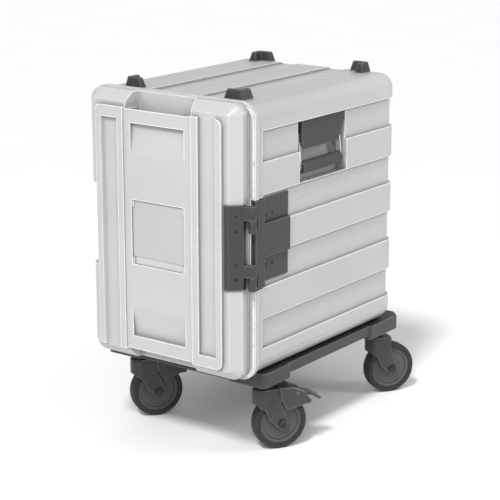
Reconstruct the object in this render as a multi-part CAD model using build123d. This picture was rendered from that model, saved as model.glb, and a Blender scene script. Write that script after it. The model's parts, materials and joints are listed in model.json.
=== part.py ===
from build123d import *
import os

# Insulated food carrier on castors.
# Everything is drawn about the middle of the door face: X to the hinge side,
# Y from the door to the back, Z up. FRAME moves it to the floor frame.
FRAME = Pos(0, -346, 497.5)

# body
BODY_HALF_W = 222.5
BODY_TOP = 300.0
BODY_BOTTOM = -297.0
BODY_BACK = 618.0
BODY_EDGE_R = 36.0
WALL = 3.0
BAND_DEPTH = 6.0
RAISED_BANDS = [(243.3, 330.0), (105.5, 176.4), (-28.7, 40.1), (-169.3, -98.1), (-330.0, -236.2)]
BAND_FRONT_Y = 76.0
FLANGE_FRONT = 46.0
FLANGE_BACK = 58.0
FLANGE_HALF_W = 225.5
FLANGE_TOP = 307.0
FLANGE_BOTTOM = -304.0
FLANGE_R = 40.0
ROOF_CHANNEL_IN = 44.0
ROOF_CHANNEL_OUT = 96.0
ROOF_CHANNEL_FRONT = 92.0
NOTCH_X = 213.0
NOTCH_BACK = 80.0
NOTCH_HALF_H = 100.0

# liner and its tray ledges
CABIN_HALF_W = 166.0
CABIN_TOP = 255.0
CABIN_BOTTOM = -252.0
CABIN_BACK = 578.0
CABIN_R = 12.0
LIP_OVERLAP = 16.0
LEDGE_COUNT = 12
LEDGE_PITCH = 38.5
LEDGE_FIRST_Z = -232.0
LEDGE_REACH = 13.0
LEDGE_T = 6.0
LEDGE_Y = (62.0, 565.0)

# door
DOOR_RIGHT = 210.0
DOOR_LEFT = -205.0
DOOR_TOP = 305.7
DOOR_BOTTOM = -298.5
DOOR_CHAMFER = 21.0
DOOR_CORNER_R = 28.0
DOOR_BACK = 44.0
PANEL_Y = 38.0
RAISE = 7.0
PANEL_HALF_W = 112.5
PANEL_HALF_H = 274.0
PANEL_SINK_HALF_W = 93.5
PANEL_SINK = 2.5
RIB_IN = 151.5
RIB_OUT = 174.5
LEFT_SHIFT = 2.5
SLOT_END_Z = 248.0
GRIP_Y = 34.0

# hinge and latch
HINGE_X = 227.0
HINGE_Y = 33.0
KNUCKLE_R = 8.5
PIN_R = 4.0
LEAF_HALF_H = 93.0
LATCH_X = -231.0
LATCH_Y = 150.0
LATCH_NOTCH_X = 209.0
LATCH_NOTCH_BACK = 62.0

# carry handles
POCKET_Y = (214.0, 400.0)
POCKET_Z = (106.0, 243.3)
POCKET_BACK_X = 184.5
PIVOT_X = 203.0
PIVOT_Z = 210.0
GRIP_X = 211.0
GRIP_Z = 137.0

# roof corners
STACK_MID_Y = 338.0

# castors
WHEEL_R = 62.5
SWIVEL_X = 178.0
SWIVEL_Y = (140.0, 607.0)
TRAIL = 38.0
CASTOR_TURN = -32.0
WHEEL_Z = -435.0
BLOCK_BOTTOM = -330.0
FRONT_EDGE_R = 12.0

os.makedirs("parts", exist_ok=True)


def save(name, shape):
    export_step(FRAME * shape, "parts/" + name + ".step")


def box(x0, x1, y0, y1, z0, z1):
    size = (abs(x1 - x0), abs(y1 - y0), abs(z1 - z0))
    middle = ((x0 + x1) / 2, (y0 + y1) / 2, (z0 + z1) / 2)
    return Pos(*middle) * Box(*size)


def cyl_z(x, y, r, z0, z1):
    return Pos(x, y, (z0 + z1) / 2) * Cylinder(r, abs(z1 - z0))


def cyl_y(x, z, r, y0, y1):
    return Pos(x, (y0 + y1) / 2, z) * Rot(90, 0, 0) * Cylinder(r, abs(y1 - y0))


def cyl_x(y, z, r, x0, x1):
    return Pos((x0 + x1) / 2, y, z) * Rot(0, 90, 0) * Cylinder(r, abs(x1 - x0))


def plate_xy(points, z0, z1):
    face = make_face(Polyline(*points, close=True))
    return Pos(0, 0, z0) * extrude(face, z1 - z0, dir=(0, 0, 1))


def plate_xz(points, y0, y1):
    face = make_face(Plane.XZ * Polyline(*points, close=True))
    return Pos(0, y0, 0) * extrude(face, y1 - y0, dir=(0, 1, 0))


def plate_yz(points, x0, x1):
    face = make_face(Plane.YZ * Polyline(*points, close=True))
    return Pos(x0, 0, 0) * extrude(face, x1 - x0, dir=(1, 0, 0))


def mirror_x(shape):
    return mirror(shape, Plane.YZ)


def both_sides(shape):
    return shape + mirror_x(shape)


def half_turn(shape):
    return Rot(0, 180, 0) * shape


def rounded_prism(half_w, z0, z1, y0, y1, r):
    shape = box(-half_w, half_w, y0, y1, z0, z1)
    return fillet(shape.edges().filter_by(Axis.Y), r)


# ---------------------------------------------------------------- body

def rounded_body(inset):
    half = BODY_HALF_W - inset
    shape = box(-half, half, FLANGE_FRONT, BODY_BACK - inset, BODY_BOTTOM + inset, BODY_TOP - inset)
    edges = [e for e in shape.edges() if e.center().Y > FLANGE_FRONT + 1]
    return fillet(edges, BODY_EDGE_R - inset)


def handle_pocket(inset):
    z0, z1 = POCKET_Z[0] - inset, POCKET_Z[1] + inset
    back = POCKET_BACK_X - inset
    points = [(250, z1), (back, z1), (back, 165), (back + 12, 125), (back + 12, z0), (250, z0)]
    return plate_xz(points, POCKET_Y[0] - inset, POCKET_Y[1] + inset)


def body_block(inset):
    full = rounded_body(inset)
    shape = rounded_body(inset + BAND_DEPTH)
    for z0, z1 in RAISED_BANDS:
        shape += full & box(-300, 300, 0, 700, z0 + inset, z1 - inset)
    shape += full & box(-300, 300, 0, BAND_FRONT_Y - inset, -400, 400)
    flange = rounded_prism(FLANGE_HALF_W - inset, FLANGE_BOTTOM + inset, FLANGE_TOP - inset,
                           FLANGE_FRONT, FLANGE_BACK - inset, FLANGE_R - inset)
    shape += flange
    channel = box(ROOF_CHANNEL_IN - inset, ROOF_CHANNEL_OUT + inset, ROOF_CHANNEL_FRONT - inset, 700,
                  BODY_TOP - BAND_DEPTH - inset, 400)
    shape -= both_sides(channel)
    shape -= both_sides(handle_pocket(inset))
    notch_h = NOTCH_HALF_H + inset
    shape -= both_sides(box(NOTCH_X - inset, 300, 0, NOTCH_BACK + inset, -notch_h, notch_h))
    shape -= box(-300, inset - LATCH_NOTCH_X, 0, LATCH_NOTCH_BACK + inset, -notch_h, notch_h)
    return shape


liner_out = rounded_prism(CABIN_HALF_W + WALL, CABIN_BOTTOM - WALL, CABIN_TOP + WALL,
                          FLANGE_FRONT, CABIN_BACK + WALL, CABIN_R + WALL)
cabin = rounded_prism(CABIN_HALF_W, CABIN_BOTTOM, CABIN_TOP, FLANGE_FRONT, CABIN_BACK, CABIN_R)
liner_out += rounded_prism(CABIN_HALF_W + LIP_OVERLAP, CABIN_BOTTOM - LIP_OVERLAP, CABIN_TOP + LIP_OVERLAP,
                           FLANGE_FRONT, FLANGE_FRONT + WALL, CABIN_R + LIP_OVERLAP)
ledges = Part()
for i in range(LEDGE_COUNT):
    z = LEDGE_FIRST_Z + i * LEDGE_PITCH
    x = CABIN_HALF_W - LEDGE_REACH
    points = [(x, z), (x, z + LEDGE_T - 2), (CABIN_HALF_W + 1, z + LEDGE_T), (CABIN_HALF_W + 1, z - 6)]
    ledges += plate_xz(points, *LEDGE_Y)
body_liner = liner_out - cabin + both_sides(ledges)

body_outer = body_block(0)
foam_space = body_block(WALL) & box(-300, 300, FLANGE_FRONT + WALL, 700, -400, 400)
bead_groove = rounded_prism(221, -299.5, 302.5, FLANGE_FRONT - 1, FLANGE_FRONT + 1.6, 35.5)
bead_groove -= rounded_prism(218.5, -297, 300, FLANGE_FRONT - 2, FLANGE_FRONT + 3, 33)
body_shell = body_outer - foam_space - liner_out - bead_groove
body_foam = foam_space - liner_out

# ---------------------------------------------------------------- door


def door_slab(inset, y0, y1):
    shape = box(DOOR_LEFT + inset, DOOR_RIGHT - inset, y0, y1, DOOR_BOTTOM + inset, DOOR_TOP - inset)
    return fillet(shape.edges().filter_by(Axis.Y), DOOR_CORNER_R - inset)


def door_block(inset):
    shape = door_slab(inset, inset, DOOR_BACK)
    front = shape.edges().group_by(Axis.Y)[0]
    return chamfer(front, DOOR_CHAMFER - inset * 0.586)


def grip_recess(grow):
    mouth = plate_xy([(-96 - grow, -20), (-82 - grow, GRIP_Y + grow), (82 + grow, GRIP_Y + grow),
                      (96 + grow, -20)], 271 - grow, 330)
    ramp = plate_yz([(-2, 272), (-2, 271 - grow), (GRIP_Y + grow, 262 - grow), (GRIP_Y + grow, 272)],
                    -82 - grow, 82 + grow)
    pocket = plate_xz([(-58 - grow, 275), (-47 - grow, 238 - grow), (47 + grow, 238 - grow), (58 + grow, 275)],
                      9 - grow, GRIP_Y + grow)
    return mouth + ramp + pocket


door_raised = plate_xy([(-RIB_OUT, 0.5), (-RIB_OUT, -3), (-RIB_OUT + 3, -RAISE), (-RIB_IN - 4.6, -RAISE),
                        (-RIB_IN, 0), (-RIB_IN, 0.5)], -PANEL_HALF_H, PANEL_HALF_H)
door_raised += Pos(LEFT_SHIFT, 0, 0) * mirror_x(door_raised)
door_raised += box(LEFT_SHIFT - PANEL_HALF_W, PANEL_HALF_W, -RAISE, 0.5, -PANEL_HALF_H, PANEL_HALF_H)
bridge = box(-RIB_OUT + LEFT_SHIFT + 3, -PANEL_HALF_W + 3, -RAISE, 0.5, SLOT_END_Z, PANEL_HALF_H)
door_raised += bridge + half_turn(bridge)
raised_outline = rounded_prism(RIB_OUT - LEFT_SHIFT / 2, -PANEL_HALF_H, PANEL_HALF_H, -RAISE - 1, 1, 15)
door_raised &= Pos(LEFT_SHIFT / 2, 0, 0) * raised_outline
door_raised -= box(-PANEL_SINK_HALF_W, PANEL_SINK_HALF_W, -RAISE - 1, PANEL_SINK - RAISE, -300, 300)

badge_pocket = plate_yz([(-8, 172.9), (-4.5, 172.9), (4.5, 240.6), (-8, 240.6)], -74, 74)
badge_pocket += half_turn(badge_pocket)
card_recess = box(-73, 73, -9, -0.5, -74.3, 70.9)


def latch_recess(grow):
    points = [(-173 + grow, -1), (-173 + grow, 0.5), (-193 + grow, 23), (-193 + grow, 35 + grow), (-201, 35 + grow),
              (-206, 40 + grow), (-215, 40 + grow), (-215, -1)]
    return plate_xy(points, -LEAF_HALF_H - grow, LEAF_HALF_H + grow)


door_foam = door_block(WALL) & box(-300, 300, 0, PANEL_Y, -400, 400)
door_foam -= latch_recess(WALL)
for turn in (0, 180):
    door_foam -= Rot(0, turn, 0) * grip_recess(WALL + 1)
    door_foam -= Rot(0, turn, 0) * box(-78, 78, 0, 8.5, 168, 245)
door_shell = door_block(0) + door_raised
door_shell -= door_slab(WALL, PANEL_Y, 60)
door_shell -= door_foam
door_shell -= latch_recess(0)
for turn in (0, 180):
    door_shell -= Rot(0, turn, 0) * grip_recess(0)
door_shell -= badge_pocket
door_shell -= card_recess
door_panel = door_slab(WALL, PANEL_Y, PANEL_Y + WALL)
door_panel += rounded_prism(176, -262, 265, PANEL_Y + 1, PANEL_Y + 6, 20)
gasket = rounded_prism(192, -278, 281, PANEL_Y + WALL, FLANGE_FRONT - 0.4, 36)
gasket -= rounded_prism(178, -264, 267, PANEL_Y + 1, FLANGE_FRONT + 1, 22)

card_holder = box(-72.6, 72.6, -1.7, -0.5, -73.9, 70.5)
for sx in (-1, 1):
    for z0, z1 in ((-73.9, -58), (54.6, 70.5)):
        card_holder += box(sx * 72.6, sx * 66, -3.6, -2.6, z0, z1)
        card_holder += box(sx * 72.6, sx * 71.2, -3.6, -0.5, z0, z1)
label_card = box(-70.8, 70.8, -2.5, -1.7, -56, 69)

# ---------------------------------------------------------------- screws


def screw(head_r, shank_r, length):
    head = Cone(shank_r, head_r, head_r - shank_r, align=(Align.CENTER, Align.CENTER, Align.MAX))
    shank = Cylinder(shank_r, length, align=(Align.CENTER, Align.CENTER, Align.MAX))
    return head + shank


def drive(head_r):
    bar = Box(head_r * 1.1, head_r * 0.28, 2.4)
    return bar + Rot(0, 0, 90) * bar


door_screws = []
for z in (-69, -36.5, 36.5, 69):
    door_screws.append(Pos(200.3 + 2.1, 11.3 - 2.1, z) * Rot(0, 90, 0) * Rot(45, 0, 0))
    door_screws.append(Pos(-185.15, 11.35, z) * Rot(0, -90, 0) * Rot(41.6, 0, 0))
side_screws = []
for z in (60.5, -50.0):
    for y in (90, 114):
        side_screws.append(Pos(219.7, y, z) * Rot(0, 90, 0))
        side_screws.append(Pos(-219.7, y, z) * Rot(0, -90, 0))


def screw_set(places, head_r, shank_r, length):
    blanks = [place * screw(head_r, shank_r, length) for place in places]
    drives = [place * drive(head_r) for place in places]
    return blanks, drives


def as_group(blanks, drives):
    return Compound(children=[Part() + (b - d) for b, d in zip(blanks, drives)])


def cut_all(shape, tools):
    for tool in tools:
        shape -= tool
    return shape


door_screw_blanks, door_screw_drives = screw_set(door_screws, 5.0, 2.2, 14)
side_screw_blanks, side_screw_drives = screw_set(side_screws, 5.0, 2.2, 16)

# ---------------------------------------------------------------- hinge

LEAF = [(177.6, 0), (177.6, -3), (190.2, -3), (213, 19.8), (213, 30), (210, 30), (210, 21), (189, 0)]
leaf = plate_xy(LEAF, -LEAF_HALF_H, LEAF_HALF_H)
DOOR_KNUCKLES = [(60.3, 90.0), (-64.7, -38.0)]
BODY_KNUCKLES = [(32.0, 60.0), (-95.0, -65.0)]
for z0, z1 in DOOR_KNUCKLES:
    leaf += plate_xy([(211, 20), (213, 19.8), (HINGE_X, HINGE_Y - KNUCKLE_R), (HINGE_X, HINGE_Y + 2),
                      (211, 30)], z0, z1)
    leaf += cyl_z(HINGE_X, HINGE_Y, KNUCKLE_R, z0, z1)
    leaf -= cyl_z(HINGE_X, HINGE_Y, PIN_R + 0.05, z0 - 1, z1 + 1)
hinge_leaf = cut_all(leaf, door_screw_blanks)

side_bracket = box(NOTCH_X, 226, 47, NOTCH_BACK, -96, 98)
for z0, z1 in ((40.1, 98), (-86, -28.7)):
    side_bracket += box(216.5, 219.7, NOTCH_BACK - 1, 174, z0, z1)
side_bracket += box(222.5, 225.7, NOTCH_BACK - 1, 174, -31.9, 43.3)
for z0, z1 in ((40.1, 43.3), (-31.9, -28.7)):
    side_bracket += box(216.5, 225.7, NOTCH_BACK - 1, 174, z0, z1)
side_bracket = cut_all(side_bracket, side_screw_blanks)
hinge_bracket = side_bracket
for z0, z1 in BODY_KNUCKLES:
    hinge_bracket -= box(223.5, 230, 50, 54, z0 + 5, z1 - 1)
    hinge_bracket += plate_xy([(216, 48), (218.6, 34), (235.4, 33), (232, 40), (226, 48)], z0, z1)
    hinge_bracket += cyl_z(HINGE_X, HINGE_Y, KNUCKLE_R, z0, z1)
    hinge_bracket -= cyl_z(HINGE_X, HINGE_Y, PIN_R, z0 - 1, z1 + 1)
pins = []
for (z0, _), (_, z1) in zip(BODY_KNUCKLES, DOOR_KNUCKLES):
    pin = cyl_z(HINGE_X, HINGE_Y, PIN_R, z0, z1 + 2)
    pins.append(chamfer(pin.edges().sort_by(Axis.Z)[-1], 1.2))
hinge_pins = Compound(children=pins)

# ---------------------------------------------------------------- latch

# The lever is pinned to the body and reaches forward round the door's edge, in front of the plate's ledge.

latch_plate = plate_xy([(-173, 0.5), (-193, 23), (-193, 35), (-201.5, 35), (-201.5, 33), (-195, 33),
                        (-195, 22.2), (-175.3, 0.5)], -LEAF_HALF_H, LEAF_HALF_H)
latch_plate = cut_all(latch_plate, door_screw_blanks)
LATCH_KNUCKLE_R = 5.0
LATCH_PIN_R = 2.5
latch_bracket = mirror_x(side_bracket) & box(-300, -200, NOTCH_BACK - 1, 200, -100, 100)
for z0, z1 in ((60.0, 86.0), (-86.0, -60.0)):
    latch_bracket += plate_xy([(-218, 142), (-218, 158), (LATCH_X, LATCH_Y + LATCH_KNUCKLE_R),
                               (LATCH_X, LATCH_Y - LATCH_KNUCKLE_R)], z0, z1)
    latch_bracket += cyl_z(LATCH_X, LATCH_Y, LATCH_KNUCKLE_R, z0, z1)
    latch_bracket -= cyl_z(LATCH_X, LATCH_Y, LATCH_PIN_R, z0 - 1, z1 + 1)
latch_pin = cyl_z(LATCH_X, LATCH_Y, LATCH_PIN_R, -89, 89)
latch_pin += cyl_z(LATCH_X, LATCH_Y, 4, 86, 89) + cyl_z(LATCH_X, LATCH_Y, 4, -89, -86)
CLAW_OUTSIDE = [(-196, 28.5), (-200.5, 28.5), (-208.5, 37.5), (-215, 45), (-219.6, 50), (-228, 60), (-229.7, 66),
                (-229.7, LATCH_Y - 2)]
CLAW_INSIDE = [(-226.8, LATCH_Y - 2), (-226.3, 76), (-213.6, 56), (-209.5, 50), (-209.5, 45), (-206, 41),
               (-206, 39.6), (-202, 35.2), (-202, 32.6), (-196, 32.6)]
latch_lever = plate_xy(CLAW_OUTSIDE + CLAW_INSIDE, -59.6, 59.6)
latch_lever += cyl_z(LATCH_X, LATCH_Y, LATCH_KNUCKLE_R, -59.6, 59.6)
latch_lever -= cyl_z(LATCH_X, LATCH_Y, LATCH_PIN_R + 0.05, -70, 70)

# ---------------------------------------------------------------- carry handles

MID_Y = (POCKET_Y[0] + POCKET_Y[1]) / 2
HANDLE_HALF = 77.0
bracket = plate_yz([(MID_Y - HANDLE_HALF, 242), (MID_Y - HANDLE_HALF, 196), (MID_Y - HANDLE_HALF + 10, 177),
                    (MID_Y + HANDLE_HALF - 10, 177), (MID_Y + HANDLE_HALF, 196), (MID_Y + HANDLE_HALF, 242)],
                   POCKET_BACK_X, 216)
bracket -= box(POCKET_BACK_X + 3, 212.5, MID_Y - HANDLE_HALF + 3.5, MID_Y + HANDLE_HALF - 3.5, 170, 238.5)
bracket += box(211.5, 216, MID_Y + HANDLE_HALF - 4, POCKET_Y[1] - 0.5, 219, 242)
handle_screw_places = []
for y in (MID_Y - 55, MID_Y + 55):
    handle_screw_places.append(Pos(POCKET_BACK_X + 3, y, 222) * Rot(0, 90, 0))
    handle_screw_places.append(Pos(-POCKET_BACK_X - 3, y, 222) * Rot(0, -90, 0))
handle_screw_blanks, handle_screw_drives = screw_set(handle_screw_places, 4.5, 2.0, 11)
bracket = cut_all(bracket, handle_screw_blanks)
pivot_pin_blanks = []
for s in (-1, 1):
    outer = MID_Y + s * (HANDLE_HALF + 6.0)
    pin = cyl_y(PIVOT_X, PIVOT_Z, 3, MID_Y + s * (HANDLE_HALF - 6), outer)
    pin += cyl_y(PIVOT_X, PIVOT_Z, 5, outer - 1.5, outer)
    pivot_pin_blanks.append(pin)
bracket = cut_all(bracket, pivot_pin_blanks)
handle_pins = Compound(children=pivot_pin_blanks + [mirror_x(p) for p in pivot_pin_blanks])

bail = Part()
ARM = [(PIVOT_X - 6, PIVOT_Z), (PIVOT_X - 4, PIVOT_Z + 6), (PIVOT_X + 4, PIVOT_Z + 6), (PIVOT_X + 6, PIVOT_Z),
       (GRIP_X + 6, GRIP_Z), (GRIP_X + 4, GRIP_Z - 7), (GRIP_X - 4, GRIP_Z - 7), (GRIP_X - 6, GRIP_Z)]
for s in (-1, 1):
    near = MID_Y + s * (HANDLE_HALF + 1.0)
    arm = plate_xz(ARM, min(near, near + 3 * s), max(near, near + 3 * s))
    bail += arm - cyl_y(PIVOT_X, PIVOT_Z, 3.05, near - 10, near + 10)
bail += cyl_y(GRIP_X, GRIP_Z, 4, MID_Y - HANDLE_HALF - 3, MID_Y + HANDLE_HALF + 3)
GRIP_HALF = HANDLE_HALF - 1.0
grip = cyl_y(GRIP_X, GRIP_Z, 12.3, MID_Y - GRIP_HALF, MID_Y + GRIP_HALF)
RING_COUNT = 15
for i in range(RING_COUNT):
    y = MID_Y - GRIP_HALF + 5 + i * (2 * GRIP_HALF - 10) / (RING_COUNT - 1)
    grip += fillet(cyl_y(GRIP_X, GRIP_Z, 13.6, y - 3.4, y + 3.4).edges().filter_by(GeomType.CIRCLE), 1.0)
grip -= cyl_y(GRIP_X, GRIP_Z, 4, MID_Y - 100, MID_Y + 100)

# ---------------------------------------------------------------- stacking corners

stack = plate_xy([(113, 80), (158, 80), (165, 87), (165, 127), (141, 127), (141, 104), (113, 104)], 0, 1)
stack_profile = stack.faces().sort_by(Axis.Z)[0]
stack_blank = Pos(0, 0, 292) * extrude(-stack_profile, 30, taper=14)
stack_front_right = stack_blank - body_outer
stack_rear_right = Pos(0, 2 * STACK_MID_Y, 0) * mirror(stack_blank, Plane.XZ) - body_outer
stack_screw_places = []
for x, y in ((126, 92), (153, 114), (126, 2 * STACK_MID_Y - 92), (153, 2 * STACK_MID_Y - 114)):
    stack_screw_places.append(Pos(x, y, 322))
    stack_screw_places.append(Pos(-x, y, 322))
stack_blanks, stack_drives = screw_set(stack_screw_places, 4.5, 2.0, 30)
stack_front_right = cut_all(stack_front_right, stack_blanks)
stack_rear_right = cut_all(stack_rear_right, stack_blanks)

# ---------------------------------------------------------------- chassis


def upright_edge(shape, x, y):
    return shape.edges().filter_by(Axis.Z).sort_by_distance((x, y, BODY_BOTTOM))[0]


def corner_block(y0, y1, outer_y):
    inner_y = y0 + y1 - outer_y
    shape = box(130, 225, y0, y1, BLOCK_BOTTOM, BODY_BOTTOM)
    outer_edge = upright_edge(shape, 225, outer_y)
    if outer_y < inner_y:
        return fillet(outer_edge, FRONT_EDGE_R)
    shape = chamfer(outer_edge, 22)
    return fillet(upright_edge(shape, 225, inner_y), 8)


front_block = corner_block(80, 178, 80)
rear_block = corner_block(512, 652, 652)
rail = box(188, 220, 178, 512, -321, BODY_BOTTOM)
rail -= box(192, 216, 178, 512, -330, -300)
front_bar = box(-130, 130, 82, 108, -328, BODY_BOTTOM) - box(-130, 130, 86, 104, -340, -300)
rear_bar = box(-130, 130, 620, 646, -328, BODY_BOTTOM) - box(-130, 130, 624, 642, -340, -300)

bolt_blanks = []
for y in (112, 570):
    for s in (-1, 1):
        head = Pos(s * 148, y, BLOCK_BOTTOM - 5) * extrude(RegularPolygon(7.5, 6), 5)
        bolt_blanks.append(head + cyl_z(s * 148, y, 4, BLOCK_BOTTOM - 5, BODY_BOTTOM + 14))
chassis_bolts = Compound(children=bolt_blanks)

# ---------------------------------------------------------------- castors
# Drawn about the swivel axis with the wheel trailing to +Y, then turned.

HEAD_R = 17.0
ring = cyl_z(0, 0, HEAD_R + 2, BLOCK_BOTTOM - 4, BLOCK_BOTTOM)
stem = cyl_z(0, 0, 8, -352, -315) + ring
fork = cyl_z(0, 0, HEAD_R + 1, -371, BLOCK_BOTTOM - 4.5)
crown = box(-24, 24, -17, 34, -366, -352)
fork += fillet(crown.edges().filter_by(Axis.Z), 12)
COLUMN_R = 24.0
column = cyl_z(0, 0, COLUMN_R, -420, -350)
column = chamfer(column.edges().group_by(Axis.Z)[-1], 4)
column -= plate_yz([(-30, -383), (30, -424), (30, -440), (-30, -440)], -30, 30)
LEG = [(-4, -352), (-4, -398), (8, -425), (TRAIL - 13, WHEEL_Z - 6), (TRAIL - 5, WHEEL_Z - 13),
       (TRAIL + 5, WHEEL_Z - 13), (TRAIL + 13, WHEEL_Z - 6), (TRAIL + 12, WHEEL_Z + 8), (34, -385), (34, -352)]
leg = plate_yz(LEG, 19, 24)
fork += column + leg + mirror_x(leg)
fork -= cyl_z(0, 0, 8.05, -353, -330)
axle_r = 5.0
fork -= cyl_x(TRAIL, WHEEL_Z, axle_r, -40, 40)
wheel_room = cyl_x(TRAIL, WHEEL_Z, WHEEL_R + 3.5, -18.9, 18.9)
fork -= wheel_room
axle = cyl_x(TRAIL, WHEEL_Z, axle_r, -24, 24)
axle += cyl_x(TRAIL, WHEEL_Z, 9, 24, 27.5) + cyl_x(TRAIL, WHEEL_Z, 9, -27.5, -24)
hub = cyl_x(TRAIL, WHEEL_Z, 50, -13, 13)
hub -= both_sides(cyl_x(TRAIL, WHEEL_Z, 43, 10.5, 14) - cyl_x(TRAIL, WHEEL_Z, 40, 9, 15))
hub -= both_sides(cyl_x(TRAIL, WHEEL_Z, 40, 11.5, 14) - cyl_x(TRAIL, WHEEL_Z, 16, 9, 15))
hub += cyl_x(TRAIL, WHEEL_Z, 13, -18.4, 18.4)
hub -= cyl_x(TRAIL, WHEEL_Z, axle_r + 0.05, -20, 20)
tyre = cyl_x(TRAIL, WHEEL_Z, WHEEL_R, -16, 16)
tyre = fillet(tyre.edges().filter_by(GeomType.CIRCLE), 7)
tyre -= cyl_x(TRAIL, WHEEL_Z, 50, -20, 20)

HOOD = [(30, -350), (62, -352), (92, -366), (108, -388), (104, -394), (92, -394), (50, -404), (34, -380)]
hood = plate_yz(HOOD, -27, 27)
hood = fillet(hood.edges().filter_by(Axis.X).sort_by(Axis.Y)[-4:-1], 2.5)
hood -= plate_yz([(33, -357), (60, -358), (86, -370), (100, -390), (100, -410), (30, -410), (30, -357)], -24, 24)
hood -= wheel_room
hood_slot = plate_yz([(66, -350), (125, -350), (125, -392), (84, -392), (66, -374)], -13.5, 13.5)
hood -= hood_slot
braked_fork = fork + hood
PEDAL_Y, PEDAL_Z = 74.0, -367.0
pedal = plate_yz([(70, -364), (80, -363), (116, -374), (134, -386), (134, -390), (130, -391), (114, -380),
                  (104, -379), (80, -371), (70, -370)], -12.5, 12.5)
pedal += plate_yz([(112, -373), (135, -386), (135, -391), (131, -392), (112, -380)], -15, 15)
pedal += cyl_x(PEDAL_Y, PEDAL_Z, 2, -27, 27)
braked_fork -= cyl_x(PEDAL_Y, PEDAL_Z, 2.05, -40, 40)

# ---------------------------------------------------------------- fastener holes

door_shell = cut_all(door_shell, door_screw_blanks)
door_foam = cut_all(door_foam, door_screw_blanks)
body_tools = side_screw_blanks + handle_screw_blanks + stack_blanks + bolt_blanks
body_shell = cut_all(body_shell, body_tools)
body_foam = cut_all(body_foam, body_tools)
body_liner = cut_all(body_liner, body_tools)
front_block = cut_all(front_block, bolt_blanks + [Pos(SWIVEL_X, SWIVEL_Y[0], 0) * stem])
rear_block = cut_all(rear_block, bolt_blanks + [Pos(SWIVEL_X, SWIVEL_Y[1], 0) * stem])

# ---------------------------------------------------------------- nodes

save("body_shell", body_shell)
save("body_foam", body_foam)
save("body_liner", body_liner)
save("door_shell", door_shell)
save("door_foam", door_foam)
save("door_inner_panel", door_panel)
save("door_gasket", gasket)
save("card_holder", card_holder)
save("label_card", label_card)
save("hinge_door_leaf", hinge_leaf)
save("hinge_body_bracket", hinge_bracket)
save("hinge_pins", hinge_pins)
save("latch_door_plate", latch_plate)
save("latch_lever", latch_lever)
save("latch_pin", latch_pin)
save("latch_body_bracket", latch_bracket)
save("door_hardware_screws", as_group(door_screw_blanks, door_screw_drives))
save("side_bracket_screws", as_group(side_screw_blanks, side_screw_drives))
save("handle_screws", as_group(handle_screw_blanks, handle_screw_drives))
save("handle_pivot_pins", handle_pins)
save("stacking_corner_screws", as_group(stack_blanks, stack_drives))
save("chassis_bolts", chassis_bolts)
for side, flip in (("right", False), ("left", True)):
    for name, shape in (("handle_bracket", bracket), ("handle_bail", bail), ("handle_grip", grip),
                        ("chassis_rail", rail)):
        save(name + "_" + side, mirror_x(shape) if flip else shape)
    for end, corner, block in (("front", stack_front_right, front_block), ("rear", stack_rear_right, rear_block)):
        save("stacking_corner_" + end + "_" + side, mirror_x(corner) if flip else corner)
        save("chassis_corner_" + end + "_" + side, mirror_x(block) if flip else block)
save("chassis_bar_front", front_bar)
save("chassis_bar_rear", rear_bar)

stems = []
for end, y in zip(("front", "rear"), SWIVEL_Y):
    for side, x in (("left", -SWIVEL_X), ("right", SWIVEL_X)):
        place = Pos(x, y, 0) * Rot(0, 0, CASTOR_TURN)
        stems.append(place * stem)
        name = "castor_" + end + "_" + side + "_"
        save(name + "fork", place * (braked_fork if end == "front" else fork))
        save(name + "axle", place * axle)
        save(name + "hub", place * hub)
        save(name + "tyre", place * tyre)
        if end == "front":
            save(name + "pedal", place * pedal)
save("castor_stems", Compound(children=stems))
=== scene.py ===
import json
import math

import bpy
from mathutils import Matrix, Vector

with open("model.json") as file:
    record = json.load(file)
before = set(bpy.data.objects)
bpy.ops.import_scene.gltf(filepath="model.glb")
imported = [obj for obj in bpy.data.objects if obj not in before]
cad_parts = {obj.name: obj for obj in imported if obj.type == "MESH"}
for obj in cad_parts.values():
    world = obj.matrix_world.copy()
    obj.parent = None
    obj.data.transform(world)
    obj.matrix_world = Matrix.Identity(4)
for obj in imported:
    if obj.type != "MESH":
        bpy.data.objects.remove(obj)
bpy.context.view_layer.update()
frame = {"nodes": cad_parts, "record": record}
NODES = frame["nodes"]
MM = 0.001

# Reaches of the ambient-occlusion masks that paint shade into hollows, under overhangs and in inner corners,
# and paint highlight along outer edges.
OCCLUSION_SAMPLES = 4
OVERHANG_LIFT = 1.3
HOLLOW_REACH = 25 * MM
OVERHANG_REACH = 7 * MM
CORNER_REACH = 2 * MM
EDGE_REACH = 2.6 * MM
THIN_EDGE_REACH = 0.2 * MM


# ---------------------------------------------------------------- shader helpers

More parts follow.
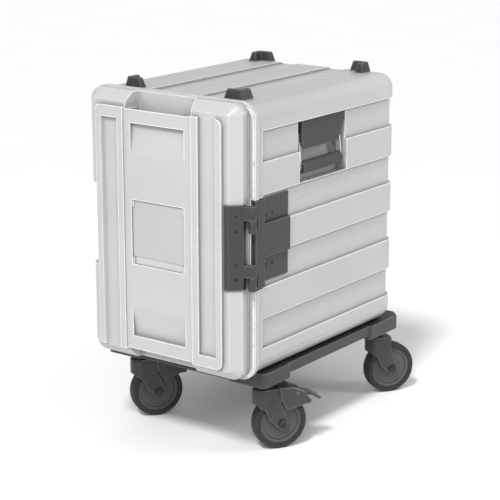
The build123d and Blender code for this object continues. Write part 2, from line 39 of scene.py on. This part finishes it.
class Graph:
    """A small builder for one material's node tree."""

    def __init__(self, name):
        self.material = bpy.data.materials.new(name)
        self.material.use_nodes = True
        self.tree = self.material.node_tree
        self.shader = self.tree.nodes["Principled BSDF"]
        self.place = self.tree.nodes.new("ShaderNodeTexCoord").outputs["Object"]

    def wire(self, source, target):
        if hasattr(source, "is_output"):
            self.tree.links.new(source, target)
        else:
            target.default_value = source

    def noise(self, scale, detail=3.0, stretch=(1, 1, 1), distortion=0.0):
        """Noise with scale cells to the metre, stretched along the axes."""
        mapping = self.tree.nodes.new("ShaderNodeMapping")
        mapping.inputs["Scale"].default_value = stretch
        self.wire(self.place, mapping.inputs["Vector"])
        node = self.tree.nodes.new("ShaderNodeTexNoise")
        self.wire(mapping.outputs["Vector"], node.inputs["Vector"])
        node.inputs["Scale"].default_value = scale
        node.inputs["Detail"].default_value = detail
        node.inputs["Distortion"].default_value = distortion
        return node.outputs["Fac"]

    def span(self, value, from_low, from_high, to_low=0.0, to_high=1.0):
        node = self.tree.nodes.new("ShaderNodeMapRange")
        self.wire(value, node.inputs["Value"])
        for socket, number in zip(("From Min", "From Max", "To Min", "To Max"),
                                  (from_low, from_high, to_low, to_high)):
            node.inputs[socket].default_value = number
        return node.outputs["Result"]

    def math(self, kind, a, b):
        node = self.tree.nodes.new("ShaderNodeMath")
        node.operation = kind
        self.wire(a, node.inputs[0])
        self.wire(b, node.inputs[1])
        return node.outputs["Value"]

    def blend(self, share, a, b):
        node = self.tree.nodes.new("ShaderNodeMix")
        node.data_type = "RGBA"
        self.wire(share, node.inputs["Factor"])
        self.wire(a, node.inputs["A"])
        self.wire(b, node.inputs["B"])
        return node.outputs["Result"]

    def occlusion_mask(self, distance, inside=False, low=0.86, high=0.45, overhang=False):
        """Ambient-occlusion mask for painted light: 1 in inner corners, 0 on open flats, used for painted
        shade. Inside turns it to outer edges for painted highlight, overhang to what is above for painted
        shade under overhangs.
        """
        node = self.tree.nodes.new("ShaderNodeAmbientOcclusion")
        node.samples = OCCLUSION_SAMPLES
        node.inside = inside
        node.inputs["Distance"].default_value = distance
        if overhang:
            geometry = self.tree.nodes.new("ShaderNodeNewGeometry")
            lifted = self.tree.nodes.new("ShaderNodeVectorMath")
            lifted.operation = "ADD"
            self.wire(geometry.outputs["Normal"], lifted.inputs[0])
            lifted.inputs[1].default_value = (0, 0, OVERHANG_LIFT)
            upward = self.tree.nodes.new("ShaderNodeVectorMath")
            upward.operation = "NORMALIZE"
            self.wire(lifted.outputs["Vector"], upward.inputs[0])
            self.wire(upward.outputs["Vector"], node.inputs["Normal"])
        return self.span(node.outputs["AO"], low, high)

    def bump(self, height, depth, under=None):
        node = self.tree.nodes.new("ShaderNodeBump")
        node.inputs["Strength"].default_value = 1.0
        node.inputs["Distance"].default_value = depth
        self.wire(height, node.inputs["Height"])
        if under is not None:
            self.wire(under, node.inputs["Normal"])
        return node.outputs["Normal"]

    def finish(self, colour, roughness, normal=None, metallic=0.0, **constants):
        self.wire(colour, self.shader.inputs["Base Color"])
        self.wire(roughness, self.shader.inputs["Roughness"])
        self.shader.inputs["Metallic"].default_value = metallic
        if normal is not None:
            self.wire(normal, self.shader.inputs["Normal"])
        for socket, number in constants.items():
            self.shader.inputs[socket.replace("_", " ")].default_value = number
        return self.material


def grey(value, warm=0.0):
    return (value + warm, value, value - warm, 1.0)


def plastic(name, colour, mottled, wear_and_highlight, painted_shade, roughness, grain, grain_depth, peel_depth, edge=EDGE_REACH):
    """Moulded plastic: tool grain, orange peel, faint mottling, a few scuffs, painted shade in hollows,
    under overhangs and in inner corners, and painted highlight along outer edges, patchy like rubbed wear.
    """
    g = Graph(name)
    clouds = g.span(g.noise(7, 4), 0.35, 0.65)
    base = g.blend(clouds, colour, mottled)
    # Painted shade: darker in wide hollows, under overhangs and in inner corners, blended towards the shade
    # colour.
    base = g.blend(g.math("MULTIPLY", g.occlusion_mask(HOLLOW_REACH, low=0.99, high=0.80), 0.32), base, painted_shade)
    under = g.occlusion_mask(OVERHANG_REACH, low=0.75, high=0.25, overhang=True)
    base = g.blend(g.math("MULTIPLY", under, 0.85), base, painted_shade)
    base = g.blend(g.math("MULTIPLY", g.occlusion_mask(CORNER_REACH), 0.5), base, painted_shade)
    # Painted highlight along outer edges, broken into patches like rubbed wear.
    patchy = g.span(g.noise(60, 5), 0.30, 0.55, 0.55, 1.0)
    wear_and_highlight_mask = g.math("MULTIPLY", g.occlusion_mask(edge, inside=True, low=0.95, high=0.55), patchy)
    base = g.blend(g.math("MULTIPLY", wear_and_highlight_mask, 0.9), base, wear_and_highlight)
    scuffs = g.span(g.noise(26, 6, (1, 1, 5), 0.6), 0.62, 0.74)
    rough = g.math("ADD", g.span(g.noise(18, 4), 0.3, 0.7, roughness - 0.05, roughness + 0.05),
                   g.math("MULTIPLY", scuffs, 0.10))
    normal = g.bump(g.noise(90, 2), peel_depth)
    normal = g.bump(g.noise(grain, 2), grain_depth, under=normal)
    return g.finish(base, rough, normal, Specular_IOR_Level=0.36)


def metal(name, colour, dull, roughness, stretch):
    """Drawn or brushed metal, with fine lines along the axis that stretch squeezes least."""
    g = Graph(name)
    lines = g.noise(900, 3, stretch)
    base = g.blend(g.span(g.noise(40, 4), 0.35, 0.7), colour, dull)
    rough = g.span(lines, 0.3, 0.7, roughness - 0.08, roughness + 0.10)
    return g.finish(base, rough, g.bump(lines, 0.02 * MM), metallic=1.0)


def rubber(name, colour, dusty, roughness):
    """Solid rubber with a dull skin, pale dust in its pores and fine wear lines."""
    g = Graph(name)
    dust = g.span(g.noise(120, 6), 0.5, 0.72)
    base = g.blend(g.math("MULTIPLY", dust, 0.5), colour, dusty)
    rough = g.span(g.noise(55, 5), 0.3, 0.7, roughness - 0.08, roughness + 0.08)
    normal = g.bump(g.noise(1100, 3), 0.05 * MM, under=g.bump(g.noise(160, 4), 0.12 * MM))
    return g.finish(base, rough, normal)


def foam(name, colour, deep):
    """Rigid cellular foam, cut open."""
    g = Graph(name)
    cells = g.tree.nodes.new("ShaderNodeTexVoronoi")
    cells.inputs["Scale"].default_value = 700
    g.wire(g.place, cells.inputs["Vector"])
    base = g.blend(g.span(cells.outputs["Distance"], 0.1, 0.7), colour, deep)
    return g.finish(base, 0.9, g.bump(cells.outputs["Distance"], 0.3 * MM))


# In each plastic the third colour is the painted highlight along outer edges, partly rubbed wear, and the
# fourth is the painted shade of hollows, overhangs and inner corners.
MATERIALS = {
    "light_grey_plastic": plastic("shell_plastic", grey(0.46), grey(0.44), grey(0.95), grey(0.12), 0.34,
                                  1300, 0.018 * MM, 0.05 * MM),
    "dark_grey_plastic": plastic("dark_plastic", grey(0.042), grey(0.036), grey(0.15), grey(0.010), 0.44,
                                 1100, 0.05 * MM, 0.04 * MM),
    "castor_plastic": plastic("castor_plastic", grey(0.046), grey(0.040), grey(0.16), grey(0.012), 0.38,
                              1200, 0.03 * MM, 0.04 * MM),
    "wheel_plastic": plastic("wheel_plastic", grey(0.078), grey(0.068), grey(0.20), grey(0.015), 0.44,
                             1000, 0.04 * MM, 0.04 * MM),
    "liner_plastic": plastic("liner_plastic", grey(0.44), grey(0.42), grey(0.60), grey(0.15), 0.30,
                             900, 0.02 * MM, 0.06 * MM),
    "card": plastic("card_plastic", grey(0.43), grey(0.41), grey(0.50), grey(0.22), 0.5,
                    1500, 0.01 * MM, 0.03 * MM, THIN_EDGE_REACH),
    "tyre_rubber": rubber("tyre_rubber", grey(0.014), grey(0.035, 0.001), 0.66),
    "black_rubber": rubber("seal_rubber", grey(0.02), grey(0.05), 0.62),
    "foam": foam("foam", (0.72, 0.60, 0.33, 1), (0.50, 0.38, 0.18, 1)),
    "dark_steel": metal("dark_steel", grey(0.07), grey(0.04), 0.42, (1, 1, 1)),
    "steel": metal("zinc_steel", grey(0.42), grey(0.30), 0.34, (1, 1, 0.1)),
    "bail_steel": metal("bright_steel", grey(0.95), grey(0.84), 0.36, (1, 1, 0.06)),
}

# The card holder is too thin for the shell's reach of painted edge highlight; the hinge pins are duller than
# other steel.
CLIP_PLASTIC = plastic("clip_plastic", grey(0.50), grey(0.47), grey(0.62), grey(0.15), 0.30,
                       1300, 0.015 * MM, 0.03 * MM, THIN_EDGE_REACH)
HINGE_STEEL = metal("hinge_steel", grey(0.16), grey(0.11), 0.38, (1, 1, 0.1))

for subpart in frame["record"]["subparts"]:
    mesh = NODES[subpart["node"]].data
    mesh.materials.clear()
    mesh.materials.append(MATERIALS[subpart["material_slot"]])
NODES["card_holder"].data.materials[0] = CLIP_PLASTIC
NODES["hinge_pins"].data.materials[0] = HINGE_STEEL


# ---------------------------------------------------------------- edges

WELD_DISTANCE = 0.002 * MM
EASED_ANGLE = math.radians(28)


def ease(node, width):
    """Rounds the sharp edges of a CAD node in its modifiers."""
    piece = NODES[node]
    weld = piece.modifiers.new("weld", "WELD")
    weld.merge_threshold = WELD_DISTANCE
    bevel = piece.modifiers.new("ease", "BEVEL")
    bevel.width = width
    bevel.segments = 2
    bevel.limit_method = "ANGLE"
    bevel.angle_limit = EASED_ANGLE
    bevel.harden_normals = True


WIDE_EASE = 1.0 * MM
NARROW_EASE = 0.7 * MM
WIDE_EASED = ("body_shell", "door_shell", "body_liner", "door_inner_panel")
SKIPPED = ("body_foam", "door_foam", "door_gasket", "label_card")
for name in NODES:
    if name in SKIPPED or name.endswith("_tyre"):
        continue
    ease(name, WIDE_EASE if name in WIDE_EASED else NARROW_EASE)


# ---------------------------------------------------------------- camera and light

CAMERA_PLACE = Vector((2.234, -3.055, 1.4015))
CAMERA_AZIMUTH = math.radians(36.29)
CAMERA_ELEVATION = math.radians(14.96)
LENS_MM = 120
SENSOR_MM = 36
FAR_CLIP = 150

camera = bpy.data.objects.new("camera", bpy.data.cameras.new("camera"))
bpy.context.scene.collection.objects.link(camera)
camera.location = CAMERA_PLACE
forward = Vector((-math.sin(CAMERA_AZIMUTH) * math.cos(CAMERA_ELEVATION),
                  math.cos(CAMERA_AZIMUTH) * math.cos(CAMERA_ELEVATION), -math.sin(CAMERA_ELEVATION)))
camera.rotation_mode = "QUATERNION"
camera.rotation_quaternion = forward.to_track_quat("-Z", "Y")
camera.data.lens = LENS_MM
camera.data.sensor_width = SENSOR_MM
camera.data.clip_end = FAR_CLIP
bpy.context.scene.camera = camera

FLOOR_HALF = 60.0
floor_mesh = bpy.data.meshes.new("floor")
floor_mesh.from_pydata([(-FLOOR_HALF, -FLOOR_HALF, 0), (FLOOR_HALF, -FLOOR_HALF, 0),
                        (FLOOR_HALF, FLOOR_HALF, 0), (-FLOOR_HALF, FLOOR_HALF, 0)], [], [(0, 1, 2, 3)])
floor = bpy.data.objects.new("floor", floor_mesh)
bpy.context.scene.collection.objects.link(floor)
g = Graph("studio_floor")
floor_mesh.materials.append(g.finish(g.blend(g.span(g.noise(3, 4), 0.3, 0.7), grey(0.86), grey(0.88)), 0.7))


def area_light(name, place, target, size, power):
    light = bpy.data.lights.new(name, "AREA")
    light.size = size
    light.energy = power
    lamp = bpy.data.objects.new(name, light)
    bpy.context.scene.collection.objects.link(lamp)
    lamp.location = place
    lamp.rotation_mode = "QUATERNION"
    lamp.rotation_quaternion = (Vector(target) - Vector(place)).to_track_quat("-Z", "Y")


SUN_FROM = Vector((0.16, -0.60, 0.80))
SUN_POWER = 2.5
SUN_ANGLE = math.radians(11)
SKY_STRENGTH = 0.54
sun_light = bpy.data.lights.new("key", "SUN")
sun_light.energy = SUN_POWER
sun_light.angle = SUN_ANGLE
sun = bpy.data.objects.new("key", sun_light)
bpy.context.scene.collection.objects.link(sun)
sun.rotation_mode = "QUATERNION"
sun.rotation_quaternion = (-SUN_FROM).to_track_quat("-Z", "Y")
area_light("side", (1.5, 0.8, 1.3), (0.2, 0.15, 0.6), 0.5, 8)
area_light("front", (1.0, -1.7, 1.2), (0.1, -0.35, 0.5), 0.7, 9)

world = bpy.data.worlds.new("studio")
bpy.context.scene.world = world
world.use_nodes = True
world.node_tree.nodes["Background"].inputs["Color"].default_value = (1, 1, 1, 1)
world.node_tree.nodes["Background"].inputs["Strength"].default_value = SKY_STRENGTH
bpy.context.scene.view_settings.view_transform = "Standard"
